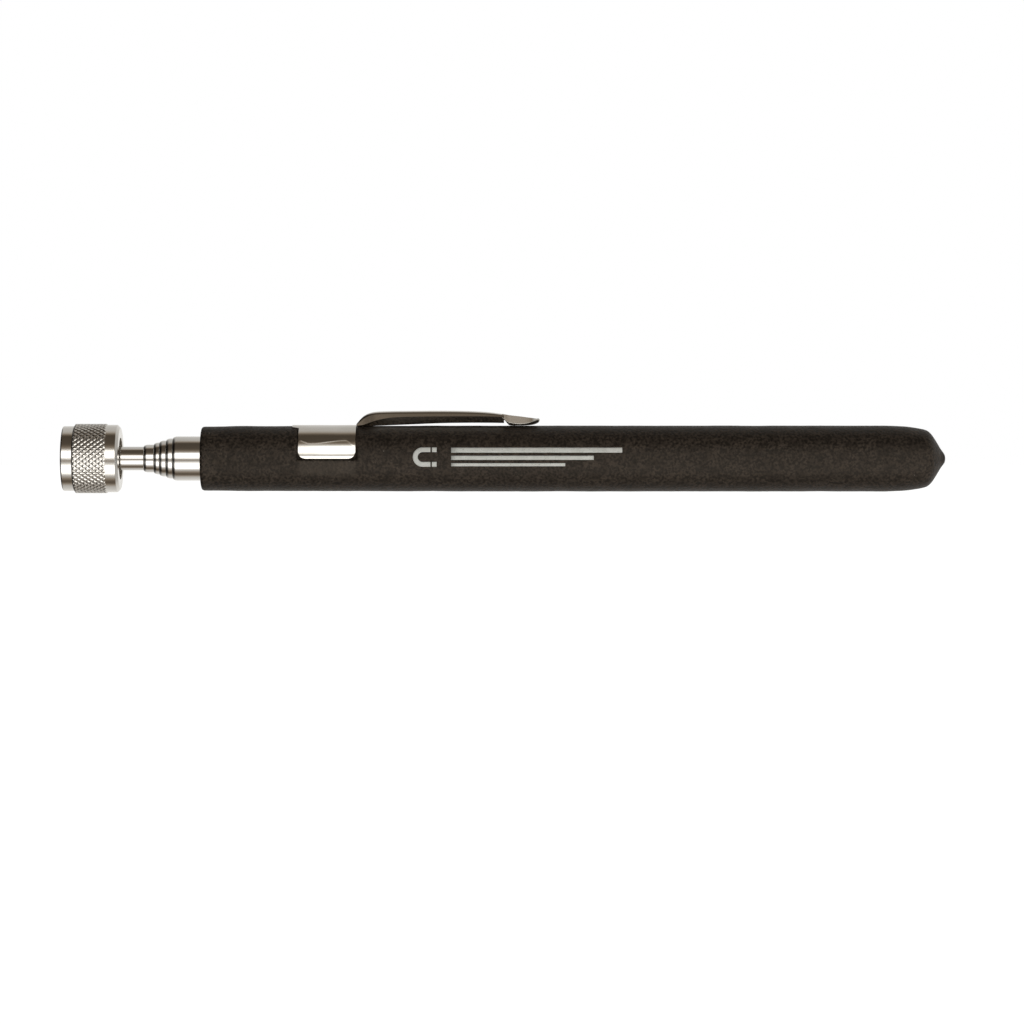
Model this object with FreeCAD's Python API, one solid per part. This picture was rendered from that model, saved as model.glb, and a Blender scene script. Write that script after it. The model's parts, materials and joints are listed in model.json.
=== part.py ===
import FreeCAD, Part
import math
import os

# Telescoping magnetic pickup tool, closed length 171.5 mm, in millimetres.
# The tool lies along X: pickup face at x = 0 looking towards -X, grip towards +X, clip on top (+Z).

Vector = FreeCAD.Vector
X_AXIS = Vector(1, 0, 0)
Y_AXIS = Vector(0, 1, 0)
Z_AXIS = Vector(0, 0, 1)

# Overall
closed_length = 171.5
slide_travel = 120.0

# Telescoping sections, from the outer tube (index 0) to the rod (index 5)
section_radii = [4.3, 3.9, 3.5, 3.1, 2.7, 2.3]
section_fronts = [21.4, 20.1, 18.8, 17.7, 15.7, 10.1]
tube_wall = 0.25
rod_wall = 0.3
mouth_length = 0.8
mouth_round = 0.3
running_gap = 0.03
collar_width = 1.0
collar_height = 0.12
collar_play = 0.1
shim_pocket = 8.0
shim_gap = 0.01
rod_spin_gap = 0.02
shim_end_gap = 0.05
shim_span_deg = 150.0
closed_stop_gap = 0.4
stop_plug_gap = 0.05

# Head
head_length = 11.15
front_band_radius = 6.3
front_band_end = 2.2
knurl_radius = 6.75
knurl_end = 8.7
rear_band_radius = 6.56
rear_chamfer = 0.5
front_edge_round = 0.3
head_bore_radius = 5.3
head_back_wall = 2.0
stud_hole_radius = 1.6
rod_recess_radius = 4.05
pot_radius = 5.29
pot_wall = 0.7
pot_floor = 1.2
pot_depth = 4.3
magnet_radius = 3.7
magnet_chamfer = 0.15
spacer_recess = 0.15
fit_gap = 0.01

# Threaded joint between head and rod
stud_radius = 1.5
nut_across_flats = 5.5
nut_height = 2.4
washer_height = 0.6
washer_radius = 2.6
washer_split = 0.6
stud_tip_clearance = 0.25
tip_plug_length = 8.0
tail_button_length = 1.0
tail_button_depth = 6.0

# Grip
grip_front = 26.9
grip_front_radius = 6.2
grip_waist_radius = 6.3
grip_waist = 36.0
grip_radius = 6.35
grip_barrel_front = 93.0
grip_shoulder = 160.0
grip_corner = 0.7
grip_tail_curve = [
    (163.2, 6.27), (166.5, 5.83), (168.2, 5.25), (169.4, 3.8), (170.5, 2.0), (171.1, 1.17)
]
outer_tube_end = 160.0
tail_plug_front = 153.0

# Pocket clip
band_front = 45.8
band_rear = 57.0
band_thickness = 0.42
band_outer_radius = 6.53
band_corner = 1.2
band_wing_drop = 0.2
band_lip_length = 1.2
band_lip_width = 5.0
band_seat_gap = 0.03
root_notch_length = 1.2
root_notch_depth = 0.4
root_notch_gap = 0.2
clip_width = 5.0
clip_sheet = 0.5
hinge_x = 57.3
hinge_z = 6.32
hinge_radius = 0.25
flange_end = 85.5
bowl_front = 85.7
bowl_tip = 92.7
bowl_rim_front_z = 8.45
bowl_rim_tip_z = 7.75
bowl_bottom_z = 6.43
bowl_sheet = 0.4
bowl_leg_start = 0.6
bowl_leg_run = 1.6
bowl_heel = (91.1, 6.65)
clip_bend = [(57.6, 7.4), (58.35, 8.65), (60.2, 9.05)]
clip_crown = (75.0, 9.4)
clip_neck = (85.7, 8.6)
flange_bottom = [(flange_end, 6.85), (75.0, 6.85), (61.0, 6.5), (58.4, 6.45)]
channel_front = 58.6
channel_floor_z = 5.9


def point(x, z, y=0.0):
    return Vector(x, y, z)


def turned(outline):
    """A solid of revolution about X from a closed list of (x, radius) points."""
    corners = [point(x, r) for x, r in outline]
    face = Part.Face(Part.makePolygon(corners + [corners[0]]))
    return face.revolve(Vector(0, 0, 0), X_AXIS, 360)


def cylinder(radius, x_start, x_end):
    return Part.makeCylinder(radius, x_end - x_start, Vector(x_start, 0, 0), X_AXIS)


def ring(inner, outer, x_start, x_end):
    return cylinder(outer, x_start, x_end).cut(cylinder(inner, x_start, x_end))


def circles_at(shape, x, radius):
    """The circular edges of a turned shape that lie at one x and one radius."""
    found = []
    for edge in shape.Edges:
        if not isinstance(edge.Curve, Part.Circle):
            continue
        same_place = abs(edge.Curve.Center.x - x) < 0.001
        same_size = abs(edge.Curve.Radius - radius) < 0.001
        if same_place and same_size:
            found.append(edge)
    return found


def collar_front(index):
    """Where the front collar of a section sits, so that it meets the next mouth after its travel."""
    return section_fronts[index - 1] + mouth_length + slide_travel + collar_play


def section_rear(index):
    return collar_front(index) + 2 * collar_width + shim_pocket


def section_bore(index):
    wall = rod_wall if index == 5 else tube_wall
    return section_radii[index] - wall


def make_outer_tube():
    radius = section_radii[0]
    front = section_fronts[0]
    lip = section_radii[1] + running_gap
    bore = section_bore(0)
    tube = turned([
        (front, lip), (front, radius), (outer_tube_end, radius), (outer_tube_end, bore),
        (front + mouth_length, bore), (front + mouth_length, lip),
    ])
    return tube.makeFillet(mouth_round, circles_at(tube, front, radius))


def make_slide_tube(index):
    radius = section_radii[index]
    front = section_fronts[index]
    lip = section_radii[index + 1] + running_gap
    bore = section_bore(index)
    collar = radius + collar_height
    first = collar_front(index)
    rear = section_rear(index)
    tube = turned([
        (front, lip), (front, radius),
        (first, radius), (first, collar),
        (first + collar_width, collar), (first + collar_width, radius),
        (rear - collar_width, radius), (rear - collar_width, collar),
        (rear, collar), (rear, bore),
        (front + mouth_length, bore), (front + mouth_length, lip),
    ])
    return tube.makeFillet(mouth_round, circles_at(tube, front, radius))


def make_rod():
    radius = section_radii[5]
    front = section_fronts[5]
    bore = section_bore(5)
    collar = radius + collar_height
    first = collar_front(5)
    rear = section_rear(5)
    return turned([
        (front, bore), (front, radius),
        (first, radius), (first, collar),
        (first + collar_width, collar), (first + collar_width, radius),
        (rear - collar_width, radius), (rear - collar_width, collar),
        (rear, collar), (rear, bore),
    ])


def make_shims(index, gap):
    """Two curved brass strips that brake one section inside the next larger one."""
    radius = section_radii[index]
    x_start = collar_front(index) + collar_width + shim_end_gap
    x_end = section_rear(index) - collar_width - shim_end_gap
    sleeve = ring(radius + gap, radius + collar_height, x_start, x_end)
    strips = []
    for middle_deg in (0, 180):
        sector = Part.makeCylinder(
            radius + 1, x_end - x_start, Vector(x_start, 0, 0), X_AXIS, shim_span_deg)
        sector.rotate(Vector(0, 0, 0), X_AXIS, middle_deg - shim_span_deg / 2)
        strips.append(sleeve.common(sector))
    return Part.makeCompound(strips)


def make_rod_tip_plug():
    """Turned plug pressed into the rod, with the stud that carries the head."""
    front = section_fronts[5]
    stud_tip = pot_depth + pot_floor + stud_tip_clearance
    body = cylinder(section_bore(5) - fit_gap, front, front + tip_plug_length)
    return body.fuse(cylinder(stud_radius, stud_tip, front)).removeSplitter()


def make_rod_tail_plug():
    rear = section_rear(5)
    body = cylinder(section_bore(5) - fit_gap, rear - tail_button_depth, rear)
    button = cylinder(section_radii[5], rear, rear + tail_button_length)
    return body.fuse(button).removeSplitter()


def make_head_shell():
    """Knurled cup that holds the magnet, plain bands at both ends, the rod seated in its back."""
    inside = head_length - head_back_wall
    rod_seat = section_fronts[5]
    shell = turned([
        (0, head_bore_radius), (0, front_band_radius), (front_band_end, front_band_radius),
        (front_band_end, knurl_radius), (knurl_end, knurl_radius),
        (knurl_end, rear_band_radius), (head_length, rear_band_radius),
        (head_length, rod_recess_radius), (rod_seat, rod_recess_radius),
        (rod_seat, stud_hole_radius), (inside, stud_hole_radius), (inside, head_bore_radius),
    ])
    shell = shell.makeFillet(front_edge_round, circles_at(shell, 0, front_band_radius))
    return shell.makeChamfer(rear_chamfer, circles_at(shell, head_length, rear_band_radius))


def make_magnet_pot():
    inner = pot_radius - pot_wall
    return cylinder(pot_radius, 0, pot_depth + pot_floor).cut(cylinder(inner, 0, pot_depth))


def make_spacer_ring():
    inner_wall = pot_radius - pot_wall - fit_gap
    return ring(magnet_radius + fit_gap, inner_wall, spacer_recess, pot_depth)


def make_magnet():
    disc = cylinder(magnet_radius, 0, pot_depth)
    return disc.makeChamfer(magnet_chamfer, circles_at(disc, 0, magnet_radius))


def make_lock_washer():
    """Split spring washer between the nut and the cup's back wall."""
    x_end = head_length - head_back_wall
    washer = ring(stud_radius + fit_gap, washer_radius, x_end - washer_height, x_end)
    split = Part.makeBox(
        washer_height, washer_split, washer_radius + 1,
        Vector(x_end - washer_height, -washer_split / 2, 0))
    return washer.cut(split)


def make_head_nut():
    x_end = head_length - head_back_wall - washer_height
    x_start = x_end - nut_height
    corner_radius = nut_across_flats / math.sqrt(3)
    corners = []
    for step in range(6):
        angle = math.radians(60 * step)
        corners.append(Vector(x_start, corner_radius * math.cos(angle), corner_radius * math.sin(angle)))
    face = Part.Face(Part.makePolygon(corners + [corners[0]]))
    body = face.extrude(X_AXIS * nut_height)
    return body.cut(cylinder(stud_radius + fit_gap, x_start, x_end))


def make_tail_plug():
    """Plug that closes the outer tube, stepped so that every section stops against it."""
    plug = cylinder(section_bore(0) - fit_gap, tail_plug_front, outer_tube_end)
    for index in range(1, 5):
        if index == 4:
            next_rear = section_rear(5) + tail_button_length
        else:
            next_rear = section_rear(index + 1)
        step_front = next_rear + closed_stop_gap
        plug = plug.fuse(cylinder(section_bore(index) - stop_plug_gap, step_front, tail_plug_front))
    return plug.removeSplitter()


def grip_body():
    """Closed foam grip: straight barrel, soft shoulder and a drip nib at the end."""
    bore = section_radii[0] + fit_gap
    bore_end = outer_tube_end + closed_stop_gap
    tip = point(closed_length, 0)
    tail_points = [point(grip_shoulder, grip_radius)]
    tail_points += [point(x, r) for x, r in grip_tail_curve]
    tail = Part.BSplineCurve()
    tail.interpolate(
        tail_points + [tip], InitialTangent=Vector(1, 0, 0), FinalTangent=Vector(0, 0, -1))
    corner_start = point(grip_front, grip_front_radius - grip_corner)
    corner_end = point(grip_front + grip_corner, grip_front_radius)
    bulge = grip_corner * (1 - math.sqrt(0.5))
    corner_middle = point(grip_front + bulge, grip_front_radius - bulge)
    inside = [tip, point(bore_end, 0), point(bore_end, bore), point(grip_front, bore), corner_start]
    outside = [
        corner_end, point(grip_waist, grip_waist_radius), point(grip_barrel_front, grip_radius),
        tail_points[0],
    ]
    edges = [Part.makeLine(start, end) for start, end in zip(inside, inside[1:])]
    edges.append(Part.Arc(corner_start, corner_middle, corner_end).toShape())
    edges += [Part.makeLine(start, end) for start, end in zip(outside, outside[1:])]
    edges.append(tail.toShape())
    return Part.Face(Part.Wire(edges)).revolve(Vector(0, 0, 0), X_AXIS, 360)


def upper_half_ring(inner, outer, x_start, x_end, bottom_z):
    shape = ring(inner, outer, x_start, x_end)
    keep = Part.makeBox(
        x_end - x_start, 4 * outer, 2 * outer, Vector(x_start, -2 * outer, bottom_z))
    return shape.common(keep)


def make_grip_sleeve():
    """The grip with a shallow seat pressed into it by the clip band."""
    inner = band_outer_radius - band_thickness - band_seat_gap
    seat = upper_half_ring(
        inner, band_outer_radius + 1, band_front - band_seat_gap, band_rear + band_seat_gap,
        -band_wing_drop - band_seat_gap)
    lip_seat = Part.makeBox(
        band_lip_length + 2 * band_seat_gap, band_lip_width + 2 * band_seat_gap, 2,
        Vector(band_front - band_lip_length - 2 * band_seat_gap,
               -band_lip_width / 2 - band_seat_gap, inner - 0.5))
    lip_seat = lip_seat.cut(cylinder(inner, grip_front, band_rear))
    root_notch = Part.makeBox(
        root_notch_length, clip_width + 2 * root_notch_gap, 2 * root_notch_depth,
        Vector(band_rear, -clip_width / 2 - root_notch_gap, grip_radius - root_notch_depth))
    return grip_body().cut(seat).cut(lip_seat).cut(root_notch)


def make_clip_band():
    """Saddle over the grip: two wings to mid height, a short lip at its front edge."""
    inner = band_outer_radius - band_thickness
    saddle = upper_half_ring(inner, band_outer_radius, band_front, band_rear, -band_wing_drop)
    lower_corners = [
        edge for edge in saddle.Edges
        if abs(edge.CenterOfMass.z + band_wing_drop) < 0.01 and edge.Length < 2 * band_thickness
    ]
    saddle = saddle.makeFillet(band_corner, lower_corners)
    lip = ring(inner, band_outer_radius, band_front - band_lip_length, band_front)
    strip = Part.makeBox(
        band_lip_length, band_lip_width, 2 * band_outer_radius,
        Vector(band_front - band_lip_length, -band_lip_width / 2, 0))
    return saddle.fuse(lip.common(strip)).removeSplitter()


def side_plate(edges, width):
    """A closed outline in the XZ plane, thickened evenly to both sides of it."""
    face = Part.Face(Part.Wire(edges))
    plate = face.extrude(Y_AXIS * width)
    plate.translate(Y_AXIS * (-width / 2))
    return plate


def arm_outline(drop):
    """Side outline of the arm; drop lowers its top line by the sheet's thickness."""
    root = point(hinge_x + hinge_radius / 2 + drop, hinge_z)
    bend = [point(x + drop, z - drop) for x, z in clip_bend]
    crown = point(clip_crown[0] + drop, clip_crown[1] - drop)
    neck = point(clip_neck[0], clip_neck[1] - drop)
    edges = [
        Part.makeLine(root, bend[0]),
        Part.Arc(bend[0], bend[1], bend[2]).toShape(),
        Part.Arc(bend[2], crown, neck).toShape(),
    ]
    lower = [neck] + [point(x, z - drop) for x, z in flange_bottom] + [root]
    edges += [Part.makeLine(start, end) for start, end in zip(lower, lower[1:])]
    return edges


def make_bowl():
    """Boat-shaped tip that presses on the grip, open on top."""
    def hull(shrink):
        bottom = bowl_bottom_z + shrink
        rim_front = point(bowl_front - bowl_leg_start + shrink, bowl_rim_front_z)
        rim_tip = point(bowl_tip - shrink, bowl_rim_tip_z)
        leg_foot = point(bowl_front + bowl_leg_run + shrink, bottom)
        middle = point((bowl_front + bowl_tip) / 2, bottom)
        heel = point(bowl_heel[0], bowl_heel[1] + shrink)
        edges = [
            Part.makeLine(rim_front, rim_tip),
            Part.Arc(rim_tip, heel, middle).toShape(),
            Part.makeLine(middle, leg_foot),
            Part.makeLine(leg_foot, rim_front),
        ]
        width = clip_width - 2 * shrink
        plate = side_plate(edges, width)
        nose = rim_tip.x - width / 2
        plan = Part.makeCylinder(width / 2, 2 * bowl_rim_front_z, Vector(nose, 0, 0), Z_AXIS)
        straight = Part.makeBox(
            nose - clip_crown[0], width, 2 * bowl_rim_front_z, Vector(clip_crown[0], -width / 2, 0))
        return plate.common(plan.fuse(straight))
    return hull(0).cut(hull(bowl_sheet))


def make_clip_arm():
    """Spring arm: an inverted channel with folded sides, rooted at the bend beside the band."""
    inner_width = clip_width - 2 * clip_sheet
    outer = side_plate(arm_outline(0), clip_width)
    inner = side_plate(arm_outline(clip_sheet), inner_width)
    below = Part.makeBox(
        flange_end - channel_front + fit_gap, inner_width, flange_bottom[0][1] - channel_floor_z + clip_sheet / 2,
        Vector(channel_front, -inner_width / 2, channel_floor_z))
    channel = outer.cut(inner).cut(below)
    knuckle = Part.makeCylinder(
        hinge_radius, clip_width, Vector(hinge_x, -clip_width / 2, hinge_z), Y_AXIS)
    return channel.fuse([knuckle, make_bowl()]).removeSplitter()


def make_nodes():
    nodes = {
        "grip_sleeve": make_grip_sleeve(),
        "outer_tube": make_outer_tube(),
        "tail_plug": make_tail_plug(),
        "clip_band": make_clip_band(),
        "clip_arm": make_clip_arm(),
        "rod": make_rod(),
        "rod_shims": make_shims(5, rod_spin_gap),
        "rod_tip_plug": make_rod_tip_plug(),
        "rod_tail_plug": make_rod_tail_plug(),
        "head_shell": make_head_shell(),
        "lock_washer": make_lock_washer(),
        "head_nut": make_head_nut(),
        "magnet_pot": make_magnet_pot(),
        "spacer_ring": make_spacer_ring(),
        "magnet": make_magnet(),
    }
    for index in range(1, 5):
        nodes["slide_tube_%d" % index] = make_slide_tube(index)
        nodes["tube_shims_%d" % index] = make_shims(index, shim_gap)
    return nodes


def main():
    os.makedirs("parts", exist_ok=True)
    for name, shape in make_nodes().items():
        if not shape.isValid():
            raise ValueError("invalid shape: " + name)
        shape.exportStep(os.path.join("parts", name + ".step"))
        box = shape.BoundBox
        print("%-16s solids %d volume %9.3f x %7.2f..%7.2f z %6.2f..%6.2f" % (
            name, len(shape.Solids), shape.Volume, box.XMin, box.XMax, box.ZMin, box.ZMax))


main()
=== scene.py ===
import json
import math

import bmesh
import bpy
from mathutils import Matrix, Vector, noise


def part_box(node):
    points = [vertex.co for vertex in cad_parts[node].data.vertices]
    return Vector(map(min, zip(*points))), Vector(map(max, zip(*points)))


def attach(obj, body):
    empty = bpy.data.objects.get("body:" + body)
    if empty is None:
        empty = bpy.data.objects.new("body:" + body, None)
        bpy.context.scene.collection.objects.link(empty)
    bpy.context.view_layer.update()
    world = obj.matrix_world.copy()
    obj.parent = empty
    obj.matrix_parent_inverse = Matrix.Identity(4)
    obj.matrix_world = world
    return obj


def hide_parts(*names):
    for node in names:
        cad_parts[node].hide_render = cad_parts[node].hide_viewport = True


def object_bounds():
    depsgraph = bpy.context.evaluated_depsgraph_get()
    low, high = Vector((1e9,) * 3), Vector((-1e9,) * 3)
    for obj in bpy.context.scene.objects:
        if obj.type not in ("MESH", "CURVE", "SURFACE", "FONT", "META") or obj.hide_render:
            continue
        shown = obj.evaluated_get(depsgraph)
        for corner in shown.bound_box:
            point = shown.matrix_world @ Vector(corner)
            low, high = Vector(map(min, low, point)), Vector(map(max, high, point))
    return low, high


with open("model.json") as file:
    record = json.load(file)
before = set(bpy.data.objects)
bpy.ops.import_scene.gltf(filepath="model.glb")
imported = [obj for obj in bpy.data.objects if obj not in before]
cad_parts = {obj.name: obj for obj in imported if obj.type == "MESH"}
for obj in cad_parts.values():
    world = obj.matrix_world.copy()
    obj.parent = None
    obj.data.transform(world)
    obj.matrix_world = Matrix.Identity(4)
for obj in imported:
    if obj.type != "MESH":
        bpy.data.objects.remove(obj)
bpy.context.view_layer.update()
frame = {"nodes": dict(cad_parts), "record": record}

# A pocket telescoping magnetic pickup tool, closed, lying on a white floor.
# Lengths here are in millimetres along the part's own axes and turn into metres in the meshes.
MM = 0.001

# Telescoping sections, from the outer tube (0) to the rod (5)
SECTION_RADII = [4.3, 3.9, 3.5, 3.1, 2.7, 2.3]
WALL = 0.25
LIP_GAP = 0.03
LIP_FACE = 0.09
LIP_TURN = (0.12, 0.14)
LIP_LENGTH = 0.56
MOUTH = 0.8
COLLAR = 0.12
COLLAR_WIDTH = 1.0
COLLARS_APART = 8.0
ROD_END_FACE = 0.3
# Roundings of turned edges
CRISP = 0.02
SOFT = 0.05

# Head
FRONT_BAND_RADIUS = 6.3
KNURL_RADIUS = 6.75
REAR_BAND_RADIUS = 6.56
FRONT_BAND_END = 2.2
KNURL_END = 8.7
BORE_RADIUS = 5.3
BORE_END = 8.9
STUD_HOLE = 1.6
RECESS_RADIUS = 4.05
REAR_CHAMFER = (0.55, 0.6)
KNURL_RUN_IN = 0.3
KNURL_SHY = 0.06
KNURL_MARGIN = 0.4
KNURL_FADE = 0.35
KNURL_UNEVENNESS = 0.25
KNURLS_AROUND = 42
KNURL_PITCH = 1.25
KNURL_DEPTH = 0.12
KNURL_FLAT = 0.42
STEPS_PER_KNURL = 14

# Magnet, its pot and the ring between them
MAGNET_RADIUS = 3.7
SPACER_RADII = (3.71, 4.58)
SPACER_RECESS = 0.15
POT_RADII = (4.59, 5.29)
MAGNET_SEGMENTS = 96

# Grip
GRIP_BORE = 4.31
GRIP_FRONT_RADIUS = 6.2
GRIP_WAIST_RADIUS = 6.32
GRIP_RADIUS = 6.4
GRIP_CORNER = 0.7
GRIP_WAIST = 36.0
GRIP_BARREL_FRONT = 93.0
GRIP_SHOULDER = 160.0
GRIP_STEP = 0.24
GRIP_SEGMENTS = 200
GRIP_TAIL = [
    (163.2, 6.27), (165.0, 6.07), (166.5, 5.83), (167.6, 5.56), (168.2, 5.25), (168.8, 4.66),
    (169.4, 3.8), (170.0, 2.84), (170.5, 2.0), (171.0, 1.3), (171.35, 0.75),
]

# Foam where the band presses it: play under the band, swell beside it, and below it a lighter strip of
# painted reflected light from the band
PRESS_PLAY = 0.06
SWELL = 0.07
SWELL_AWAY = 0.75
SWELL_WIDTH = 0.45
# strength of the lighter painted reflection on the foam below the band
PAINTED_REFLECTION = 0.42

# Printed mark: the horseshoe's centre and radii, its legs and tips, and the rules (x from, x to, low, high)
MARK_X = 70.0
MARK_UP = 0.3
BOW_RADII = (0.95, 1.9)
LEG_END = 1.5
TIP_START = 1.8
TIP_END = 2.7
RULES = [(75.5, 108.5, 1.15, 2.15), (75.5, 103.0, -0.25, 0.55), (75.5, 97.5, -1.5, -0.9)]
# How far the ink stands out of the foam, and as far down into it
INK_STAND = 0.025

# Clip
BAND_RADIUS = 6.53
BAND_LOW = 0.04
BAND_SHEET = 0.42
BAND_EDGE = 0.06
BAND_CORNER = 1.5
BAND_LIP = 1.35
BAND_LIP_HALF = 2.5
BAND_WAVES = 0.02
BAND_ROWS = 400
BAND_COLUMNS = 64
# The wings of the band: where they start to lean in (arc from the top), how steeply, how softly,
# how they straighten again, and the turned-in lower edge
PINCH_START = 6.35
PINCH = 0.175
PINCH_SOFT = 0.5
PINCH_RELAX = 0.016
ROLL_START = 9.66
ROLL = 0.17
# The bead pressed along the wings: height, half width, its highest arc past the pinch, how far it
# dips at a fifth of the band's length, how far it rises again to the front and dips at the rear
BEAD = 0.05
BEAD_HALF = 0.2
BEAD_TOP = 0.11
BEAD_DIP = 0.62
BEAD_FRONT_RISE = 0.6
BEAD_REAR_DIP = 1.05
ARM_SHEET = 0.42
ARM_LEAN = 0.35
TIP_LEAN = 0.312
ARM_FOLD_HALF = 2.45
ARM_FOOT_HALF = 1.4
ARM_FOOT_SPREAD = 0.9
ARM_CROWN = 0.16
# The arm's stations: x, then heights of its top, its fold and its foot
ARM_STATIONS = [
    (57.08, 6.7, 6.4, 6.12), (57.4, 7.15, 6.42, 6.18), (57.9, 7.8, 6.46, 6.22), (58.6, 8.42, 6.6, 6.28),
    (59.6, 8.9, 6.95, 6.32), (61.0, 9.16, 7.42, 6.38), (63.5, 9.26, 7.9, 6.48), (66.4, 9.3, 8.08, 6.6),
    (73.3, 9.34, 8.18, 6.88), (78.5, 9.28, 8.2, 6.96), (82.5, 9.08, 8.16, 6.96), (85.7, 8.68, 8.06, 6.92),
]
# The tip's stations: x, heights of its rim, its fold and its keel, then half width
TIP_STATIONS = [
    (85.3, 8.66, 8.0, 7.9, 2.35), (85.8, 8.58, 7.6, 7.45, 2.4), (86.4, 8.48, 7.1, 6.75, 2.43),
    (86.9, 8.4, 6.93, 6.45, 2.45), (88.8, 8.18, 6.72, 6.43, 2.42), (90.3, 7.98, 6.9, 6.46, 2.2),
    (91.4, 7.85, 7.22, 6.6, 1.75), (92.3, 7.72, 7.52, 6.95, 1.0), (92.66, 7.6, 7.5, 7.35, 0.3),
]


def box_mm(node):
    low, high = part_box(node)
    return low / MM, high / MM


# ---------------------------------------------------------------- meshes

def add_object(name, body, slot, material, *nodes):
    """Makes an object of the named mesh, rides it on its body and lets it stand for CAD nodes."""
    mesh = bpy.data.meshes[name]
    obj = bpy.data.objects.new(name, mesh)
    bpy.context.scene.collection.objects.link(obj)
    mesh.materials.append(material)
    for polygon in mesh.polygons:
        polygon.use_smooth = True
    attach(obj, body)
    if nodes:
        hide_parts(*nodes)
    return obj


def finish_mesh(name, shape):
    """Welds what meets, drops faces with no area and turns the rest outwards."""
    bmesh.ops.remove_doubles(shape, verts=shape.verts, dist=1e-7)
    bmesh.ops.dissolve_degenerate(shape, edges=shape.edges, dist=1e-8)
    bmesh.ops.recalc_face_normals(shape, faces=shape.faces)
    shape.to_mesh(bpy.data.meshes.new(name))
    shape.free()


def grid(rows, close_rows=False, close_columns=False):
    """A bmesh of quads through rows of points in millimetres."""
    shape = bmesh.new()
    made = [[shape.verts.new(Vector(p) * MM) for p in row] for row in rows]
    last_row = len(made) if close_rows else len(made) - 1
    columns = len(made[0])
    last_column = columns if close_columns else columns - 1
    for i in range(last_row):
        here, there = made[i], made[(i + 1) % len(made)]
        for j in range(last_column):
            k = (j + 1) % columns
            shape.faces.new((here[j], there[j], there[k], here[k]))
    return shape


def around(x, radius, segments):
    """One ring of points about the tool's axis."""
    points = []
    for step in range(segments):
        angle = 2 * math.pi * step / segments
        points.append((x, radius * math.cos(angle), radius * math.sin(angle)))
    return points


def rounded(corners, closed=True, steps=5, guard=0.04):
    """Softens an outline of (x, r, rounding); guard points keep the flats beside a corner flat."""
    outline = []
    count = len(corners)
    for i, (x, r, rounding) in enumerate(corners):
        here = Vector((x, r))
        is_end = not closed and i in (0, count - 1)
        if is_end or rounding <= 0:
            outline.append((x, r))
            continue
        before = Vector(corners[i - 1][:2]) - here
        after = Vector(corners[(i + 1) % count][:2]) - here
        start = here + before.normalized() * min(rounding, before.length * 0.48)
        end = here + after.normalized() * min(rounding, after.length * 0.48)
        outline.append(tuple(start + before.normalized() * min(guard, before.length * 0.01)))
        for step in range(steps + 1):
            t = step / steps
            bend = start * (1 - t) ** 2 + here * 2 * t * (1 - t) + end * t ** 2
            outline.append(tuple(bend))
        outline.append(tuple(end + after.normalized() * min(guard, after.length * 0.01)))
    return outline


def lathe(name, corners, segments=160):
    """A closed turned body from a closed outline of (x, r, rounding)."""
    rows = [around(x, r, segments) for x, r in rounded(corners)]
    finish_mesh(name, grid(rows, close_rows=True, close_columns=True))


def curve_through(points, per_span):
    """Catmull-Rom points through a list of tuples."""
    knots = [Vector(p) for p in points]
    ends = [knots[0] * 2 - knots[1]] + knots + [knots[-1] * 2 - knots[-2]]
    line = []
    for i in range(1, len(ends) - 2):
        a, b, c, d = ends[i - 1:i + 3]
        for step in range(per_span):
            t = step / per_span
            line.append(0.5 * (
                b * 2 + (c - a) * t + (a * 2 - b * 5 + c * 4 - d) * t ** 2
                + (b * 3 - a - c * 3 + d) * t ** 3))
    line.append(knots[-1])
    return line


def smooth_step(low, high, value):
    t = min(max((value - low) / (high - low), 0.0), 1.0)
    return t * t * (3 - 2 * t)


# ---------------------------------------------------------------- materials

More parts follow.
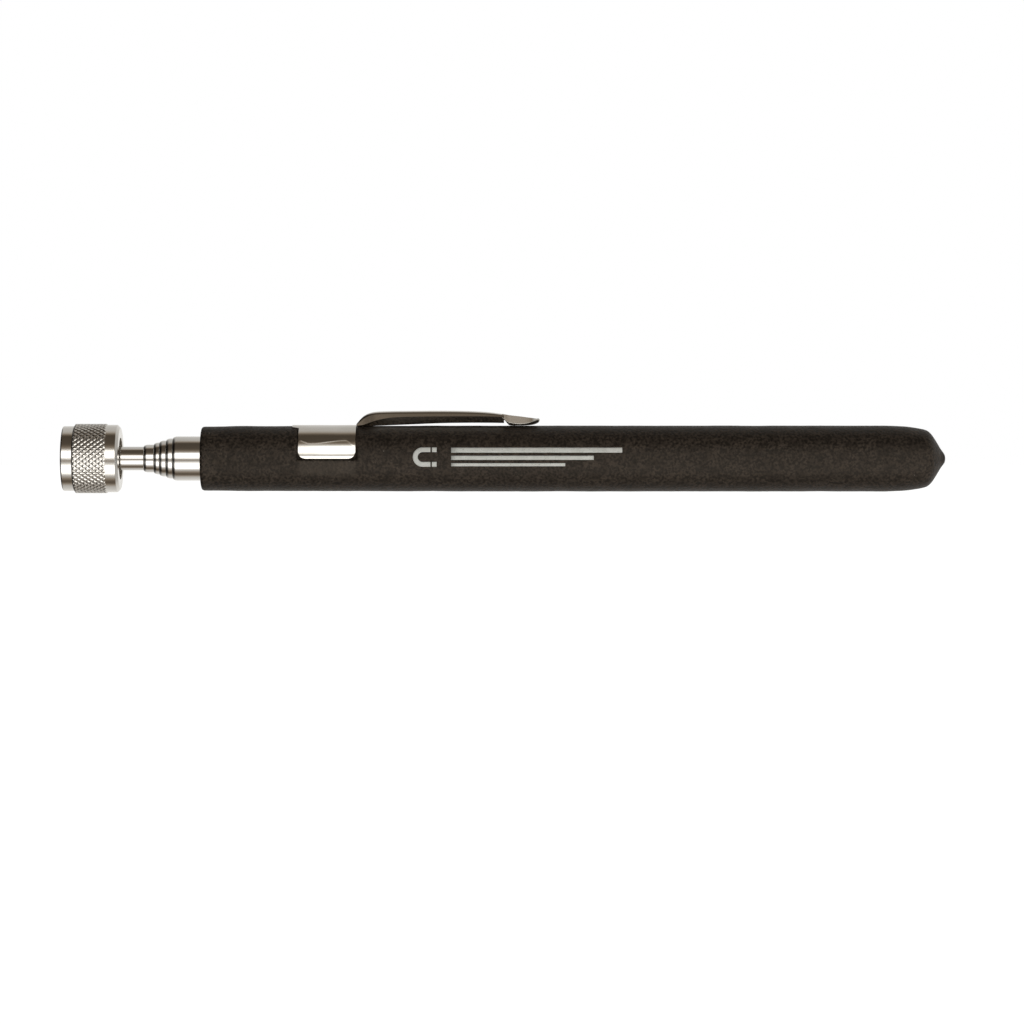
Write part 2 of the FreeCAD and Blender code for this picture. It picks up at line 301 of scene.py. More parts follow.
class Shader:
    """A node material with its textures in the part's own millimetres."""

    def __init__(self, name):
        self.material = bpy.data.materials.new(name)
        self.material.use_nodes = True
        self.tree = self.material.node_tree
        self.bsdf = self.tree.nodes["Principled BSDF"]
        self.place = self.tree.nodes.new("ShaderNodeTexCoord").outputs["Object"]

    def set(self, **values):
        for name, value in values.items():
            self.bsdf.inputs[name.replace("_", " ")].default_value = value

    def node(self, kind, **settings):
        made = self.tree.nodes.new(kind)
        for name, value in settings.items():
            setattr(made, name, value)
        return made

    def link(self, output, target):
        self.tree.links.new(output, target)

    def grain(self, size, stretch=(1, 1, 1), detail=4.0, distortion=0.0):
        """Noise whose features are about size millimetres, longer along the stretched axes."""
        mapping = self.node("ShaderNodeMapping")
        mapping.inputs["Scale"].default_value = [1 / (size * MM * s) for s in stretch]
        self.link(self.place, mapping.inputs["Vector"])
        texture = self.node("ShaderNodeTexNoise")
        texture.inputs["Scale"].default_value = 1.0
        texture.inputs["Detail"].default_value = detail
        texture.inputs["Distortion"].default_value = distortion
        self.link(mapping.outputs["Vector"], texture.inputs["Vector"])
        return texture.outputs["Fac"]

    def spread(self, value, low, high, from_low=0.3, from_high=0.7):
        ranged = self.node("ShaderNodeMapRange")
        ranged.inputs["From Min"].default_value = from_low
        ranged.inputs["From Max"].default_value = from_high
        ranged.inputs["To Min"].default_value = low
        ranged.inputs["To Max"].default_value = high
        self.link(value, ranged.inputs["Value"])
        return ranged.outputs["Result"]

    def blend(self, factor, first, second):
        """Mixes two colours, each a colour or a socket."""
        mix = self.node("ShaderNodeMix", data_type="RGBA")
        self.link(factor, mix.inputs["Factor"])
        for value, target in ((first, mix.inputs["A"]), (second, mix.inputs["B"])):
            if isinstance(value, tuple):
                target.default_value = (*value, 1.0)
            else:
                self.link(value, target)
        return mix.outputs["Result"]

    def attribute(self, name):
        return self.node("ShaderNodeAttribute", attribute_name=name).outputs["Fac"]

    def bump(self, height, distance, strength=1.0, below=None):
        made = self.node("ShaderNodeBump")
        made.inputs["Distance"].default_value = distance * MM
        made.inputs["Strength"].default_value = strength
        self.link(height, made.inputs["Height"])
        if below is not None:
            self.link(below, made.inputs["Normal"])
        return made.outputs["Normal"]

    def colour(self, socket):
        self.link(socket, self.bsdf.inputs["Base Color"])

    def roughness(self, socket):
        self.link(socket, self.bsdf.inputs["Roughness"])

    def normal(self, socket):
        self.link(socket, self.bsdf.inputs["Normal"])


def chrome(name, bright, dull, gloss, worn, stretch):
    """Chrome plate: fine marks along the stretched axes, cloudy handling marks, a little waviness."""
    shader = Shader(name)
    shader.set(Metallic=1.0)
    clouds = shader.grain(7.0, detail=3.0)
    marks = shader.grain(0.09, stretch=stretch, detail=2.0)
    shader.colour(shader.blend(shader.spread(clouds, 0.0, 0.6), bright, dull))
    cloudy = shader.spread(clouds, gloss, worn)
    fine = shader.spread(marks, 0.0, 0.05)
    total = shader.node("ShaderNodeMath", operation="ADD")
    shader.link(cloudy, total.inputs[0])
    shader.link(fine, total.inputs[1])
    shader.roughness(total.outputs["Value"])
    waves = shader.bump(shader.grain(3.0, detail=1.0), 0.006)
    shader.normal(shader.bump(marks, 0.0012, below=waves))
    return shader.material


def knurled_chrome():
    """Chrome over the knurling, with painted shade darkening its grooves and the head's rear recess."""
    shader = Shader("knurled chrome")
    shader.set(Metallic=1.0)
    valley = shader.attribute("valley")
    clouds = shader.grain(4.0, detail=4.0)
    plated = shader.blend(shader.spread(clouds, 0.0, 0.7), (0.80, 0.78, 0.74), (0.68, 0.65, 0.60))
    # painted shade: the valley attribute darkens the colour in the knurl grooves and in the rear recess
    shader.colour(shader.blend(shader.spread(valley, 0.0, 0.5, 0.6, 1.0), plated, (0.22, 0.19, 0.155)))
    shader.roughness(shader.spread(valley, 0.1, 0.35, 0.4, 1.0))
    shader.normal(shader.bump(shader.grain(0.12, detail=3.0), 0.006))
    return shader.material


def foamed_vinyl():
    """Matt black cushion grip: closed-cell skin with pores, brown cast, and a lighter painted reflection of
    the band on the foam below it.
    """
    shader = Shader("foamed vinyl")
    shader.set(Specular_IOR_Level=0.28, Specular_Tint=(1.0, 0.88, 0.76, 1.0))
    mottle = shader.grain(2.2, detail=5.0)
    pores = shader.grain(0.5, detail=3.0)
    streaks = shader.grain(1.2, stretch=(6, 1, 1), detail=4.0)
    base = shader.blend(shader.spread(mottle, 0.0, 1.0), (0.0205, 0.0155, 0.0118), (0.0525, 0.0405, 0.0315))
    dusty = shader.blend(shader.spread(streaks, 0.0, 0.35, 0.45, 0.8), base, (0.062, 0.047, 0.033))
    grainy = shader.blend(shader.spread(pores, 0.9, 0.0, 0.40, 0.60), dusty, (0.004, 0.003, 0.002))
    # painted reflection: the foam's colour is lighter below the band, standing in for light off the band
    pressed = shader.blend(shader.attribute("painted_reflection"), grainy, (0.060, 0.050, 0.040))
    cells = shader.node("ShaderNodeTexVoronoi")
    cells.inputs["Scale"].default_value = 1 / (2.6 * MM)
    shader.link(shader.place, cells.inputs["Vector"])
    specks = shader.spread(cells.outputs["Distance"], 1.0, 0.0, 0.035, 0.055)
    lint = shader.node("ShaderNodeMath", operation="MULTIPLY")
    shader.link(specks, lint.inputs[0])
    shader.link(shader.spread(shader.grain(9.0), 0.0, 0.8, 0.56, 0.62), lint.inputs[1])
    shader.colour(shader.blend(lint.outputs["Value"], pressed, (0.30, 0.27, 0.23)))
    shader.roughness(shader.spread(pores, 0.40, 0.62))
    skin = shader.bump(mottle, 0.06)
    shader.normal(shader.bump(pores, 0.13, below=skin))
    return shader.material


def white_ink():
    """Pad-printed white with the foam's pores showing through."""
    shader = Shader("white pad print")
    shader.set(Specular_IOR_Level=0.3)
    pores = shader.grain(0.16, detail=3.0)
    wear = shader.grain(1.6, detail=4.0)
    solid = shader.blend(shader.spread(wear, 0.0, 1.0), (0.66, 0.67, 0.64), (0.55, 0.56, 0.53))
    shader.colour(shader.blend(shader.spread(pores, 0.55, 0.0, 0.30, 0.40), solid, (0.06, 0.05, 0.04)))
    shader.roughness(shader.spread(wear, 0.5, 0.7))
    shader.normal(shader.bump(pores, 0.012))
    return shader.material


def plain_metal(name, bright, dull, gloss, worn, stretch, metallic=1.0):
    """Unpolished metal or moulded plastic with tool marks."""
    shader = Shader(name)
    shader.set(Metallic=metallic)
    clouds = shader.grain(2.5, detail=5.0)
    marks = shader.grain(0.12, stretch=stretch, detail=3.0)
    shader.colour(shader.blend(shader.spread(clouds, 0.0, 1.0), bright, dull))
    shader.roughness(shader.spread(clouds, gloss, worn))
    shader.normal(shader.bump(marks, 0.006))
    return shader.material


def make_materials():
    return {
        "tube_chrome": chrome(
            "drawn chrome", (0.80, 0.78, 0.75), (0.72, 0.70, 0.665), 0.045, 0.10, (60, 1, 1)),
        "clip_steel": chrome(
            "plated spring steel", (0.74, 0.715, 0.67), (0.64, 0.61, 0.56), 0.06, 0.13, (12, 1, 1)),
        "head_chrome": knurled_chrome(),
        "grip_foam": foamed_vinyl(),
        "shim_brass": plain_metal(
            "rolled brass", (0.78, 0.58, 0.27), (0.55, 0.38, 0.15), 0.22, 0.4, (1, 20, 20)),
        "plug_plastic": plain_metal(
            "moulded plug", (0.055, 0.055, 0.056), (0.035, 0.035, 0.036), 0.45, 0.6, (1, 1, 1), 0.0),
        "spacer_plastic": plain_metal(
            "moulded spacer", (0.05, 0.05, 0.055), (0.03, 0.03, 0.033), 0.4, 0.6, (1, 1, 1), 0.0),
        "fastener_steel": plain_metal(
            "zinc plated steel", (0.62, 0.61, 0.57), (0.45, 0.44, 0.40), 0.28, 0.45, (1, 6, 6)),
        "pot_steel": plain_metal(
            "ground steel", (0.58, 0.57, 0.55), (0.42, 0.41, 0.39), 0.22, 0.4, (8, 8, 1)),
        "magnet_nickel": plain_metal(
            "nickel plate", (0.68, 0.66, 0.61), (0.54, 0.52, 0.47), 0.16, 0.34, (4, 4, 4)),
    }


# ---------------------------------------------------------------- tubes and head

def collars(radius, rear):
    """Outline of the two raised collars at the rear of a section; its friction shims lie between them."""
    raised = radius + COLLAR
    first = rear - 2 * COLLAR_WIDTH - COLLARS_APART
    last = rear - COLLAR_WIDTH
    return [
        (first, radius, CRISP), (first, raised, SOFT),
        (first + COLLAR_WIDTH, raised, SOFT), (first + COLLAR_WIDTH, radius, CRISP),
        (last, radius, CRISP), (last, raised, SOFT), (rear, raised, SOFT),
    ]


def tube_corners(index, front, rear, has_collars):
    """Outline of one telescoping tube: rolled-in mouth at the front, collars at the rear."""
    radius = SECTION_RADII[index]
    bore = radius - WALL
    lip = SECTION_RADII[index + 1] + LIP_GAP
    corners = [
        (front, lip, 0.03), (front, lip + LIP_FACE, 0.06),
        (front + LIP_TURN[0], radius - LIP_TURN[1], 0.1), (front + LIP_LENGTH, radius, 0.2),
    ]
    if has_collars:
        corners += collars(radius, rear)
    else:
        corners.append((rear, radius, SOFT))
    return corners + [(rear, bore, 0.03), (front + MOUTH, bore, SOFT), (front + MOUTH, lip, 0.1)]


def make_tubes(materials):
    chrome_plate = materials["tube_chrome"]
    low, high = box_mm("outer_tube")
    lathe("outer_barrel", tube_corners(0, low.x, high.x, False))
    add_object("outer_barrel", "handle", "tube_chrome", chrome_plate, "outer_tube")
    for index in range(1, 5):
        node = "slide_tube_%d" % index
        low, high = box_mm(node)
        name = "section_%d_tube" % index
        lathe(name, tube_corners(index, low.x, high.x, True))
        add_object(name, "section_%d" % index, "tube_chrome", chrome_plate, node)
    low, high = box_mm("rod")
    radius = SECTION_RADII[5]
    inner = radius - ROD_END_FACE
    corners = [(low.x, inner, 0), (low.x, radius, SOFT)]
    corners += collars(radius, high.x)
    corners.append((high.x, inner, 0))
    lathe("inner_rod", corners)
    add_object("inner_rod", "rod_and_head", "tube_chrome", chrome_plate, "rod")


def knurl_valley(x, step):
    """0 at a diamond's centre, 1 in the grooves around it."""
    turns = step / STEPS_PER_KNURL
    along = (x - FRONT_BAND_END) / KNURL_PITCH
    grooves = []
    for helix in (turns + along, turns - along):
        grooves.append(abs(2 * (helix - math.floor(helix)) - 1))
    return max(grooves)


def knurl_radius(x, angle, valley):
    """Radius of the knurling: flat-topped diamonds, cut unevenly, fading out at both ends."""
    uneven = noise.noise(Vector((x * 1.7, 9 * math.cos(angle), 9 * math.sin(angle))))
    depth = KNURL_DEPTH * (1 + KNURL_UNEVENNESS * uneven)
    edge = smooth_step(0, KNURL_FADE, min(x - FRONT_BAND_END, KNURL_END - x))
    cut = max(valley - KNURL_FLAT, 0.0) / (1 - KNURL_FLAT)
    return KNURL_RADIUS - depth * cut - KNURL_DEPTH * (1 - edge)


def head_outline(head_end, rod_seat):
    """The head's outline as (x, r); the knurled stretch between its bands has no fixed radius."""
    shoulder = KNURL_RADIUS - KNURL_SHY
    run_in = FRONT_BAND_END + KNURL_RUN_IN
    run_out = KNURL_END - KNURL_RUN_IN
    front = rounded([
        (0.0, BORE_RADIUS, 0.12), (0.0, FRONT_BAND_RADIUS, 0.3),
        (FRONT_BAND_END, FRONT_BAND_RADIUS, 0.03), (run_in, shoulder, 0.04),
        (run_in + KNURL_SHY, shoulder, 0),
    ], closed=False)
    rear = rounded([
        (run_out - KNURL_SHY, shoulder, 0), (run_out, shoulder, 0.04),
        (KNURL_END, REAR_BAND_RADIUS, 0.03), (head_end - REAR_CHAMFER[0], REAR_BAND_RADIUS, 0.12),
        (head_end, REAR_BAND_RADIUS - REAR_CHAMFER[1], 0.12), (head_end, RECESS_RADIUS, 0.08),
        (rod_seat, RECESS_RADIUS, SOFT), (rod_seat, STUD_HOLE, SOFT),
        (BORE_END, STUD_HOLE, SOFT), (BORE_END, BORE_RADIUS, 0.1), (0.0, BORE_RADIUS, 0),
    ], closed=False)
    first = FRONT_BAND_END + KNURL_MARGIN
    length = KNURL_END - KNURL_MARGIN - first
    count = round(length / KNURL_PITCH * STEPS_PER_KNURL)
    middle = [(first + length * i / count, None) for i in range(count + 1)]
    return front + middle + rear


def make_head(materials):
    """Knurled cup: plain front and rear bands, cut diamonds between, open bore in front."""
    segments = KNURLS_AROUND * STEPS_PER_KNURL
    head_end = box_mm("head_shell")[1].x
    rod_seat = box_mm("rod")[0].x
    rows = []
    hollow_shade = []
    for x, r in head_outline(head_end, rod_seat):
        is_knurled = r is None or r > KNURL_RADIUS - KNURL_SHY - SOFT
        # the rear recess gets valley 1, which only darkens its colour as painted shade
        is_recess = not is_knurled and x > rod_seat - 2 * SOFT and r < RECESS_RADIUS + SOFT
        ring = []
        for step in range(segments):
            angle = 2 * math.pi * step / segments
            valley = knurl_valley(x, step) if is_knurled else float(is_recess)
            radius = knurl_radius(x, angle, valley) if is_knurled else r
            hollow_shade.append(valley)
            ring.append((x, radius * math.cos(angle), radius * math.sin(angle)))
        rows.append(ring)
    shape = grid(rows, close_columns=True)
    # the valley layer carries painted shade for the knurl grooves and the rear recess
    layer = shape.verts.layers.float.new("valley")
    for vert, valley in zip(shape.verts, hollow_shade):
        vert[layer] = valley
    finish_mesh("knurled_head", shape)
    add_object("knurled_head", "rod_and_head", "head_chrome", materials["head_chrome"], "head_shell")


def make_magnet(materials):
    """Magnet disc, spacer and pot, all seen at the pickup face."""
    body = "rod_and_head"
    pot_end = box_mm("magnet_pot")[1].x
    magnet_end = box_mm("magnet")[1].x
    lathe("magnet_disc", [
        (0.0, 0.0, 0), (0.0, MAGNET_RADIUS, 0.15), (magnet_end, MAGNET_RADIUS, 0.1),
        (magnet_end, 0.0, 0)], MAGNET_SEGMENTS)
    add_object("magnet_disc", body, "magnet_nickel", materials["magnet_nickel"], "magnet")
    inner, outer = POT_RADII
    lathe("pot_cup", [
        (0.0, inner, 0.08), (0.0, outer, 0.08), (pot_end, outer, 0.3), (pot_end, 0.0, 0),
        (magnet_end, 0.0, 0), (magnet_end, inner, 0.1)], MAGNET_SEGMENTS)
    add_object("pot_cup", body, "pot_steel", materials["pot_steel"], "magnet_pot")
    inner, outer = SPACER_RADII
    lathe("spacer_sleeve", [
        (SPACER_RECESS, inner, SOFT), (SPACER_RECESS, outer, SOFT),
        (magnet_end, outer, SOFT), (magnet_end, inner, SOFT)], MAGNET_SEGMENTS)
    add_object("spacer_sleeve", body, "spacer_plastic", materials["spacer_plastic"], "spacer_ring")


# ---------------------------------------------------------------- grip and print

def band_reach():
    """How far the clip band's wings come down each side, in radians from the top."""
    return math.radians(90) + math.asin(BAND_LOW / BAND_RADIUS)


def barrel_radius(x, front):
    """Radius of the grip between its front corner and its shoulder: it swells very slightly."""
    if x < GRIP_WAIST:
        share = smooth_step(front, GRIP_WAIST, x)
        return GRIP_FRONT_RADIUS + (GRIP_WAIST_RADIUS - GRIP_FRONT_RADIUS) * share
    share = smooth_step(GRIP_WAIST, GRIP_BARREL_FRONT, x)
    return GRIP_WAIST_RADIUS + (GRIP_RADIUS - GRIP_WAIST_RADIUS) * share


def unevenness(place):
    """How far the foam's skin stands above or below its true surface at a place on it."""
    return noise.noise(place * 0.16) * 0.05 + noise.noise(place * 0.9) * 0.014


def grip_rows():
    """The grip's outline as (x, r): its bore from the inside out, its front face, its skin, its tail."""
    front = box_mm("grip_sleeve")[0].x
    rows = rounded([
        (front, GRIP_BORE, 0.25), (front, GRIP_FRONT_RADIUS, GRIP_CORNER),
        (front + 2.0, GRIP_FRONT_RADIUS + 0.03, 0)], closed=False, steps=8)[1:]
    face = [(front, GRIP_BORE + (GRIP_FRONT_RADIUS - GRIP_CORNER - GRIP_BORE) * i / 6) for i in range(1, 6)]
    barrel = []
    x = front + 2.3
    while x < GRIP_SHOULDER:
        barrel.append((x, barrel_radius(x, front)))
        x += GRIP_STEP
    tip = box_mm("grip_sleeve")[1].x
    tail = curve_through([(GRIP_SHOULDER, GRIP_RADIUS)] + GRIP_TAIL + [(tip, 0.0)], 6)
    bore_end = box_mm("outer_tube")[1].x
    bore = [(bore_end, 0.0), (bore_end, GRIP_BORE * 0.5), (bore_end, GRIP_BORE)]
    bore += [(front + (bore_end - front) * (1 - i / 12), GRIP_BORE) for i in range(1, 12)]
    return bore + [(front, GRIP_BORE)] + face + rows + barrel + [(p.x, max(p.y, 0.0)) for p in tail]


def grip_press(x, radius, angle, front, rear, reach):
    """Radius of the foam where the clip band presses into it, and the strength of the painted band
    reflection below the band.
    """
    from_top = abs(angle)
    inside_x = min(x - front, rear - x)
    inside_arc = (reach - from_top) * radius
    inside = min(inside_x, inside_arc)
    floor = BAND_RADIUS - BAND_SHEET - PRESS_PLAY - band_pinch(from_top * BAND_RADIUS)
    if radius < BAND_RADIUS - 1.0:
        return radius, 0.0
    sunk = smooth_step(-0.35, 0.05, inside)
    swell = SWELL * math.exp(-((inside + SWELL_AWAY) / SWELL_WIDTH) ** 2)
    pressed = radius + (floor - radius) * sunk + swell
    # the painted reflection lies in a strip below the band's wings
    below = smooth_step(0.0, -0.8, inside_arc) * smooth_step(-4.2, -2.6, inside_arc)
    within = smooth_step(-0.3, 0.5, inside_x)
    return pressed, PAINTED_REFLECTION * below * within


def make_grip(materials):
    """Cushion grip: soft uneven skin, sunk under the clip band, closed tail with a drip nib."""
    band_low, band_high = box_mm("clip_band")
    band = (band_low.x + BAND_LIP, band_high.x, band_reach())
    rows = []
    painted_reflections = []
    for x, radius in grip_rows():
        ring = []
        fade_from, fade_to = (0.3, 3.0) if x > GRIP_SHOULDER else (GRIP_BORE, GRIP_BORE + 1.0)
        skin_share = smooth_step(fade_from, fade_to, radius)
        for step in range(GRIP_SEGMENTS):
            angle = 2 * math.pi * step / GRIP_SEGMENTS - math.pi
            r, mark = grip_press(x, radius, angle, *band)
            place = Vector((x, radius * math.sin(angle), radius * math.cos(angle)))
            r += unevenness(place) * skin_share
            ring.append((x, r * math.sin(angle), r * math.cos(angle)))
            painted_reflections.append(mark)
        rows.append(ring)
    shape = grid(rows, close_columns=True)
    # this layer holds the painted reflection below the band
    layer = shape.verts.layers.float.new("painted_reflection")
    for vert, mark in zip(shape.verts, painted_reflections):
        vert[layer] = mark
    finish_mesh("cushion_grip", shape)
    grip = add_object("cushion_grip", "handle", "grip_foam", materials["grip_foam"], "grip_sleeve")


def on_grip(x, up):
    """A point of the printed mark: x along the grip, up along its skin from mid height."""
    radius = barrel_radius(x, 0.0)
    angle = up / radius
    outwards = Vector((0.0, -math.cos(angle), math.sin(angle)))
    skin = Vector((x, 0.0, 0.0)) + outwards * radius
    return skin + outwards * (unevenness(skin) + INK_STAND)


def patch(shape, place, columns, rows):
    """Adds a patch of quads; place(u, v) gives its point for u and v from 0 to 1."""
    made = []
    for i in range(columns + 1):
        line = []
        for j in range(rows + 1):
            line.append(shape.verts.new(Vector(place(i / columns, j / rows)) * MM))
        made.append(line)
    for i in range(columns):
        for j in range(rows):
            shape.faces.new((made[i][j], made[i + 1][j], made[i + 1][j + 1], made[i][j + 1]))


def bar(shape, x_start, x_end, bottom, top):
    patch(shape, lambda u, v: on_grip(
        x_start + (x_end - x_start) * u, bottom + (top - bottom) * v), 24, 4)


def make_print(materials):
    """A plain printed mark: a horseshoe magnet with its ends set off, and three rules."""
    shape = bmesh.new()
    inner, outer = BOW_RADII

    def bow(u, v):
        angle = math.pi / 2 + math.pi * u
        radius = inner + (outer - inner) * v
        return on_grip(MARK_X + radius * math.cos(angle), MARK_UP + radius * math.sin(angle))

    patch(shape, bow, 32, 4)
    for low, high in ((-outer, -inner), (inner, outer)):
        bar(shape, MARK_X, MARK_X + LEG_END, MARK_UP + low, MARK_UP + high)
        bar(shape, MARK_X + TIP_START, MARK_X + TIP_END, MARK_UP + low, MARK_UP + high)
    for rule in RULES:
        bar(shape, *rule)
    finish_mesh("printed_mark", shape)
    mark = add_object("printed_mark", "handle", "grip_foam", materials["ink"])
    ink = mark.modifiers.new("ink", "SOLIDIFY")
    ink.thickness = 2 * INK_STAND * MM
    ink.offset = -1.0


# ---------------------------------------------------------------- clip

def sheet_ring(line, inwards):
    """Closes an open cross-section into a ring one sheet thick; inwards is +1 or -1 for its inner side."""
    flat = [Vector(p[1:]) for p in line]
    half_width = max(abs(p.x) for p in flat)
    sheet = min(ARM_SHEET, 0.45 * half_width)
    inner = []
    for i, here in enumerate(flat):
        before = (here - flat[i - 1]).normalized() if i > 0 else (flat[1] - here).normalized()
        after = (flat[i + 1] - here).normalized() if i < len(flat) - 1 else before
        along = (before + after).normalized()
        side = Vector((along.y, -along.x)) * inwards
        moved = here + side * sheet / max(along.dot(after), 0.6)
        inner.append((line[i][0], moved.x, moved.y))
    return line + inner[::-1]


def pressed_sheet(name, sections, inwards):
    """A closed strip of sheet metal through open cross-sections, with crisp folds."""
    rings = [sheet_ring(section, inwards) for section in sections]
    shape = grid(rings, close_columns=True)
    shape.verts.ensure_lookup_table()
    count = len(rings[0])
    for first in (0, (len(rings) - 1) * count):
        for j in range(count // 2 - 1):
            corners = (first + j, first + j + 1, first + count - 2 - j, first + count - 1 - j)
            shape.faces.new([shape.verts[k] for k in corners])
    finish_mesh(name, shape)
    bpy.data.meshes[name].set_sharp_from_angle(angle=math.radians(38))


def band_pinch(arc):
    """How far the band's wings lean in towards the grip, at an arc length down from the top."""
    lowered = max(arc - PINCH_START, 0.0)
    pinch = PINCH * lowered - PINCH * PINCH_SOFT * (1 - math.exp(-lowered / PINCH_SOFT))
    return pinch - PINCH_RELAX * lowered ** 2 / 2 + ROLL * max(arc - ROLL_START, 0.0)


def band_surface(arc, along):
    """Outer radius of the band: round over the top, wings pinched in, a low pressed bead at the bend."""
    dip = BEAD_DIP * (1 - smooth_step(0.22, 0.82, along))
    dip += BEAD_REAR_DIP * smooth_step(0.84, 0.98, along) - BEAD_FRONT_RISE * smooth_step(0.2, 0.02, along)
    height = BEAD * max(1 - 0.78 * dip / BEAD_DIP, 0.2)
    bead = height * math.exp(-((arc - PINCH_START - BEAD_TOP - dip) / BEAD_HALF) ** 2)
    bead *= smooth_step(0.0, 0.05, along) * smooth_step(1.0, 0.97, along)
    return BAND_RADIUS - band_pinch(arc) + bead


def make_band(materials):
    """Saddle of the clip: follows the grip over the top, rounded lower corners, short front lip."""
    low, high = box_mm("clip_band")
    front, rear = low.x + BAND_LIP, high.x
    reach = band_reach()
    rows = []
    for i in range(BAND_ROWS + 1):
        angle = -reach + 2 * reach * i / BAND_ROWS
        arc = abs(angle) * BAND_RADIUS
        to_edge = reach * BAND_RADIUS - arc
        inset = 0.0
        if to_edge < BAND_CORNER:
            inset = BAND_CORNER - math.sqrt(BAND_CORNER ** 2 - (BAND_CORNER - to_edge) ** 2)
        lip = BAND_LIP * smooth_step(BAND_LIP_HALF + 0.5, BAND_LIP_HALF - 0.3, arc)
        start, end = front + inset - lip, rear - inset
        row = []
        for j in range(BAND_COLUMNS + 1):
            x = start + (end - start) * j / BAND_COLUMNS
            waves = noise.noise(Vector((x * 0.22, angle * 2.4, 3.0))) * BAND_WAVES
            radius = band_surface(arc, (x - front) / (rear - front))
            radius += waves * smooth_step(0.0, 1.5, to_edge)
            row.append((x, radius * math.sin(angle), radius * math.cos(angle)))
        rows.append(row)
    finish_mesh("clip_saddle", grid(rows))
    band = add_object("clip_saddle", "handle", "clip_steel", materials["clip_steel"], "clip_band")
    sheet = band.modifiers.new("sheet", "SOLIDIFY")
    sheet.thickness = BAND_SHEET * MM
    sheet.offset = -1.0
    sheet.use_even_offset = True
    bevel = band.modifiers.new("edge", "BEVEL")
    bevel.width = BAND_EDGE * MM
    bevel.segments = 3
    bevel.limit_method = "ANGLE"
    bevel.angle_limit = math.radians(50)


def arm_section(x, top, fold, foot):
    """Folded cross-section of the arm, open below: crowned top, sides out to a fold, then in and down."""
    deep = smooth_step(0.4, 2.2, top - foot)
    top_half = ARM_FOLD_HALF - ARM_LEAN * (top - fold)
    foot_half = ARM_FOOT_HALF + ARM_FOOT_SPREAD * (1 - deep)
    crown = ARM_CROWN * deep
    corners = [
        (-foot_half, foot, 0), (-ARM_FOLD_HALF, fold, 0), (-top_half, top - crown, 0.5),
        (0.0, top, 0.6),
        (top_half, top - crown, 0.5), (ARM_FOLD_HALF, fold, 0), (foot_half, foot, 0),
    ]
    return [(x, y, z) for y, z in rounded(corners, closed=False, steps=4)]


def tip_section(x, rim, fold, keel, half):
    """Cross-section of the tip, open on top: sides out to a fold, then in to a rounded keel."""
    rim_half = half - TIP_LEAN * min(rim - fold, half)
    keel_half = half - 0.9 * min(1.6 * (fold - keel), half * 0.7)
    corners = [
        (-rim_half, rim, 0), (-half, fold, 0.03), (-keel_half, keel, 0.3), (0.0, keel - 0.01, 0.3),
        (keel_half, keel, 0.3), (half, fold, 0.03), (rim_half, rim, 0),
    ]
    return [(x, y, z) for y, z in rounded(corners, closed=False, steps=5)]


def make_arm(materials):
    """Spring arm of the clip: folded channel from the bend, and the pressed tip that rests on the grip."""
    pressed_sheet("clip_spring", [arm_section(*p) for p in curve_through(ARM_STATIONS, 8)], 1)
    add_object("clip_spring", "clip", "clip_steel", materials["clip_steel"], "clip_arm")
    pressed_sheet("clip_tip", [tip_section(*p) for p in curve_through(TIP_STATIONS, 6)], -1)
    add_object("clip_tip", "clip", "clip_steel", materials["clip_steel"], "clip_arm")


# ---------------------------------------------------------------- studio

# Camera: distance from the axis, width of the view there, its middle along the tool, and its shift
VIEW_DISTANCE = 750.0
VIEW_WIDTH = 199.14
VIEW_X = 87.24
VIEW_SHIFT = -0.0522


def make_floor():
    """White floor that only the camera sees, so that light reaches the tool from below too."""
    bpy.ops.mesh.primitive_plane_add(size=6.0, location=(0.0, 0.0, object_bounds()[0][2]))
    floor = bpy.context.object
    floor.name = "floor"
    floor.visible_diffuse = False
    floor.visible_glossy = False
    floor.visible_shadow = False
    shader = Shader("white floor")
    shader.set(Roughness=0.9, Specular_IOR_Level=0.0, Emission_Strength=1.0)
    shader.set(Base_Color=(0.2, 0.2, 0.2, 1.0), Emission_Color=(1.0, 1.0, 1.0, 1.0))
    floor.data.materials.append(shader.material)


# Brightness around the tool's axis, in degrees up from the camera's side: cards and flags.
STUDIO = [
    (-180, 0.85), (-151, 0.83), (-133, 0.70), (-113, 0.54), (-104, 0.33), (-96, 0.14), (-89, 0.09),
    (-81, 0.14), (-74, 0.26), (-66, 0.46), (-59, 0.75), (-54, 1.5), (-49, 2.2), (-27, 2.2),
    (-20, 0.9), (-13, 0.46), (-8, 0.29), (-3, 0.5), (3, 1.6), (7, 2.2), (24, 2.2), (29, 1.0),
    (34, 0.36), (40, 0.19), (46, 0.11), (53, 0.074), (86, 0.062), (93, 0.15), (101, 0.38),
    (110, 0.52), (135, 0.58), (180, 0.85),
]
STUDIO_PEAK = 2.2
DARK_TINT = (1.22, 0.98, 0.74)
LIGHT_TINT = (1.0, 0.985, 0.955)


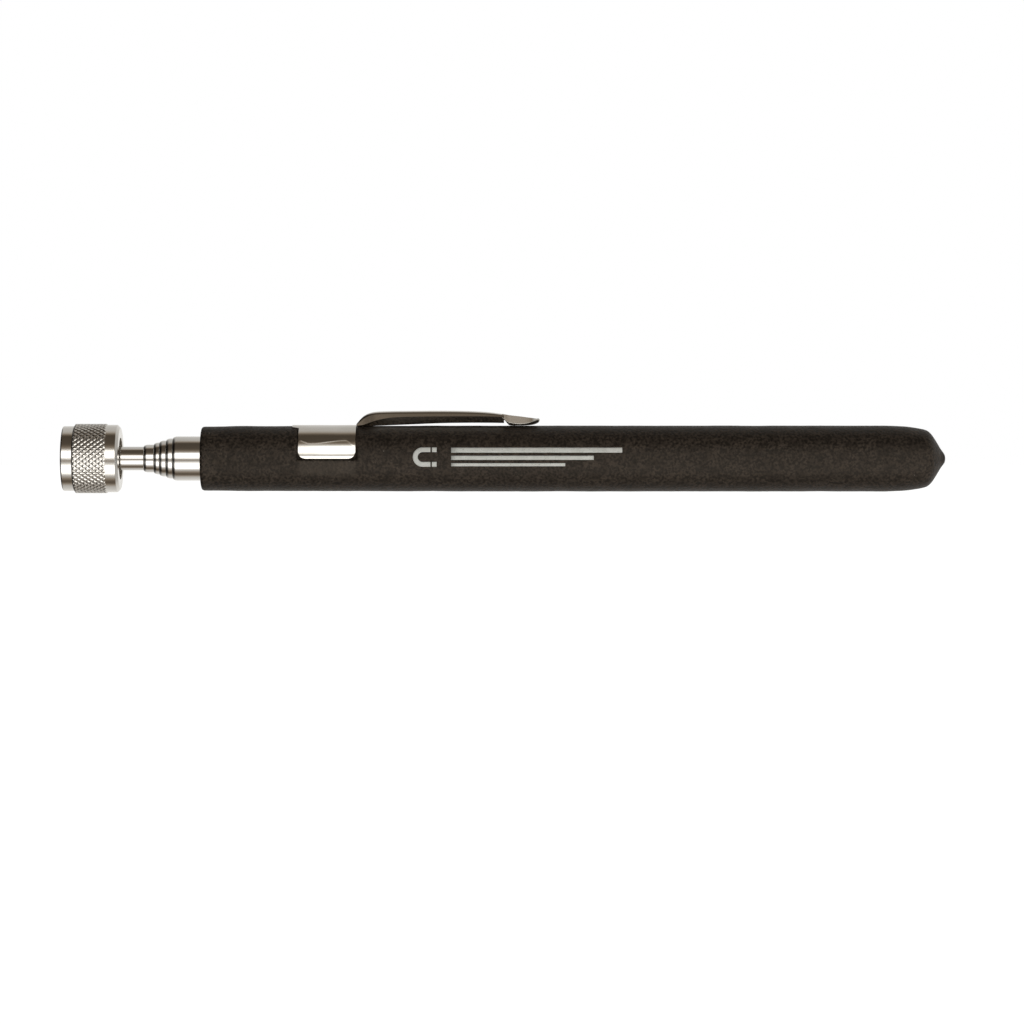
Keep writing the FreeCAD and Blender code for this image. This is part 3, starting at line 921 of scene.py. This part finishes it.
def make_world():
    """White backdrop for the camera; long soft cards and flags beside the tool for everything else."""
    world = bpy.data.worlds.new("studio")
    bpy.context.scene.world = world
    world.use_nodes = True
    tree = world.node_tree
    tree.nodes.clear()

    def add(kind, **settings):
        made = tree.nodes.new(kind)
        for name, value in settings.items():
            setattr(made, name, value)
        return made

    direction = add("ShaderNodeSeparateXYZ")
    tree.links.new(add("ShaderNodeTexCoord").outputs["Generated"], direction.inputs[0])
    towards = add("ShaderNodeMath", operation="MULTIPLY")
    towards.inputs[1].default_value = -1.0
    tree.links.new(direction.outputs["Y"], towards.inputs[0])
    angle = add("ShaderNodeMath", operation="ARCTAN2")
    tree.links.new(direction.outputs["Z"], angle.inputs[0])
    tree.links.new(towards.outputs[0], angle.inputs[1])
    share = add("ShaderNodeMapRange")
    share.inputs["From Min"].default_value = -math.pi
    share.inputs["From Max"].default_value = math.pi
    tree.links.new(angle.outputs[0], share.inputs["Value"])
    ramp = add("ShaderNodeValToRGB")
    tree.links.new(share.outputs["Result"], ramp.inputs["Fac"])
    stops = ramp.color_ramp.elements
    while len(stops) < len(STUDIO):
        stops.new(0.5)
    for stop, (degrees, level) in zip(stops, STUDIO):
        warm = smooth_step(0.6, 0.1, level)
        tint = [d * warm + l * (1 - warm) for d, l in zip(DARK_TINT, LIGHT_TINT)]
        stop.position = (degrees + 180) / 360
        stop.color = [level / STUDIO_PEAK * c for c in tint] + [1.0]
    front_flag = add("ShaderNodeMapRange", interpolation_type="SMOOTHSTEP")
    front_flag.inputs["From Min"].default_value = -0.5
    front_flag.inputs["From Max"].default_value = -0.15
    front_flag.inputs["To Min"].default_value = STUDIO_PEAK * 0.08
    front_flag.inputs["To Max"].default_value = STUDIO_PEAK
    tree.links.new(direction.outputs["X"], front_flag.inputs["Value"])
    tail_card = add("ShaderNodeMapRange", interpolation_type="SMOOTHSTEP")
    tail_card.inputs["From Min"].default_value = 0.55
    tail_card.inputs["From Max"].default_value = 0.85
    tree.links.new(direction.outputs["X"], tail_card.inputs["Value"])
    around_tool = add("ShaderNodeMix", data_type="RGBA")
    around_tool.inputs["B"].default_value = [0.5 / STUDIO_PEAK * c for c in LIGHT_TINT] + [1.0]
    tree.links.new(tail_card.outputs["Result"], around_tool.inputs["Factor"])
    tree.links.new(ramp.outputs["Color"], around_tool.inputs["A"])
    cards = add("ShaderNodeBackground")
    tree.links.new(front_flag.outputs["Result"], cards.inputs["Strength"])
    tree.links.new(around_tool.outputs["Result"], cards.inputs["Color"])
    backdrop = add("ShaderNodeBackground")
    backdrop.inputs["Color"].default_value = (1.0, 1.0, 1.0, 1.0)
    choose = add("ShaderNodeMixShader")
    tree.links.new(add("ShaderNodeLightPath").outputs["Is Camera Ray"], choose.inputs["Fac"])
    tree.links.new(cards.outputs[0], choose.inputs[1])
    tree.links.new(backdrop.outputs[0], choose.inputs[2])
    tree.links.new(choose.outputs[0], add("ShaderNodeOutputWorld").inputs["Surface"])


def make_camera():
    """Long lens level with the tool's axis, looking along +Y."""
    camera = bpy.data.objects.new("camera", bpy.data.cameras.new("camera"))
    bpy.context.scene.collection.objects.link(camera)
    camera.location = Vector((VIEW_X, -VIEW_DISTANCE, 0.0)) * MM
    camera.rotation_euler = (math.radians(90), 0.0, 0.0)
    camera.data.sensor_width = 36.0
    camera.data.lens = camera.data.sensor_width * VIEW_DISTANCE / VIEW_WIDTH
    camera.data.shift_y = VIEW_SHIFT
    camera.data.clip_start = 0.01
    bpy.context.scene.camera = camera
    bpy.context.scene.view_settings.view_transform = "Standard"


def finish_inner_parts(materials):
    """Gives every carried-over CAD node the material of its slot."""
    for part in frame["record"]["subparts"]:
        node = frame["nodes"][part["node"]]
        node.data.materials.clear()
        node.data.materials.append(materials[part["material_slot"]])


def main():
    materials = make_materials()
    materials["ink"] = white_ink()
    finish_inner_parts(materials)
    make_tubes(materials)
    make_head(materials)
    make_magnet(materials)
    make_grip(materials)
    make_print(materials)
    make_band(materials)
    make_arm(materials)
    make_floor()
    make_world()
    make_camera()


main()
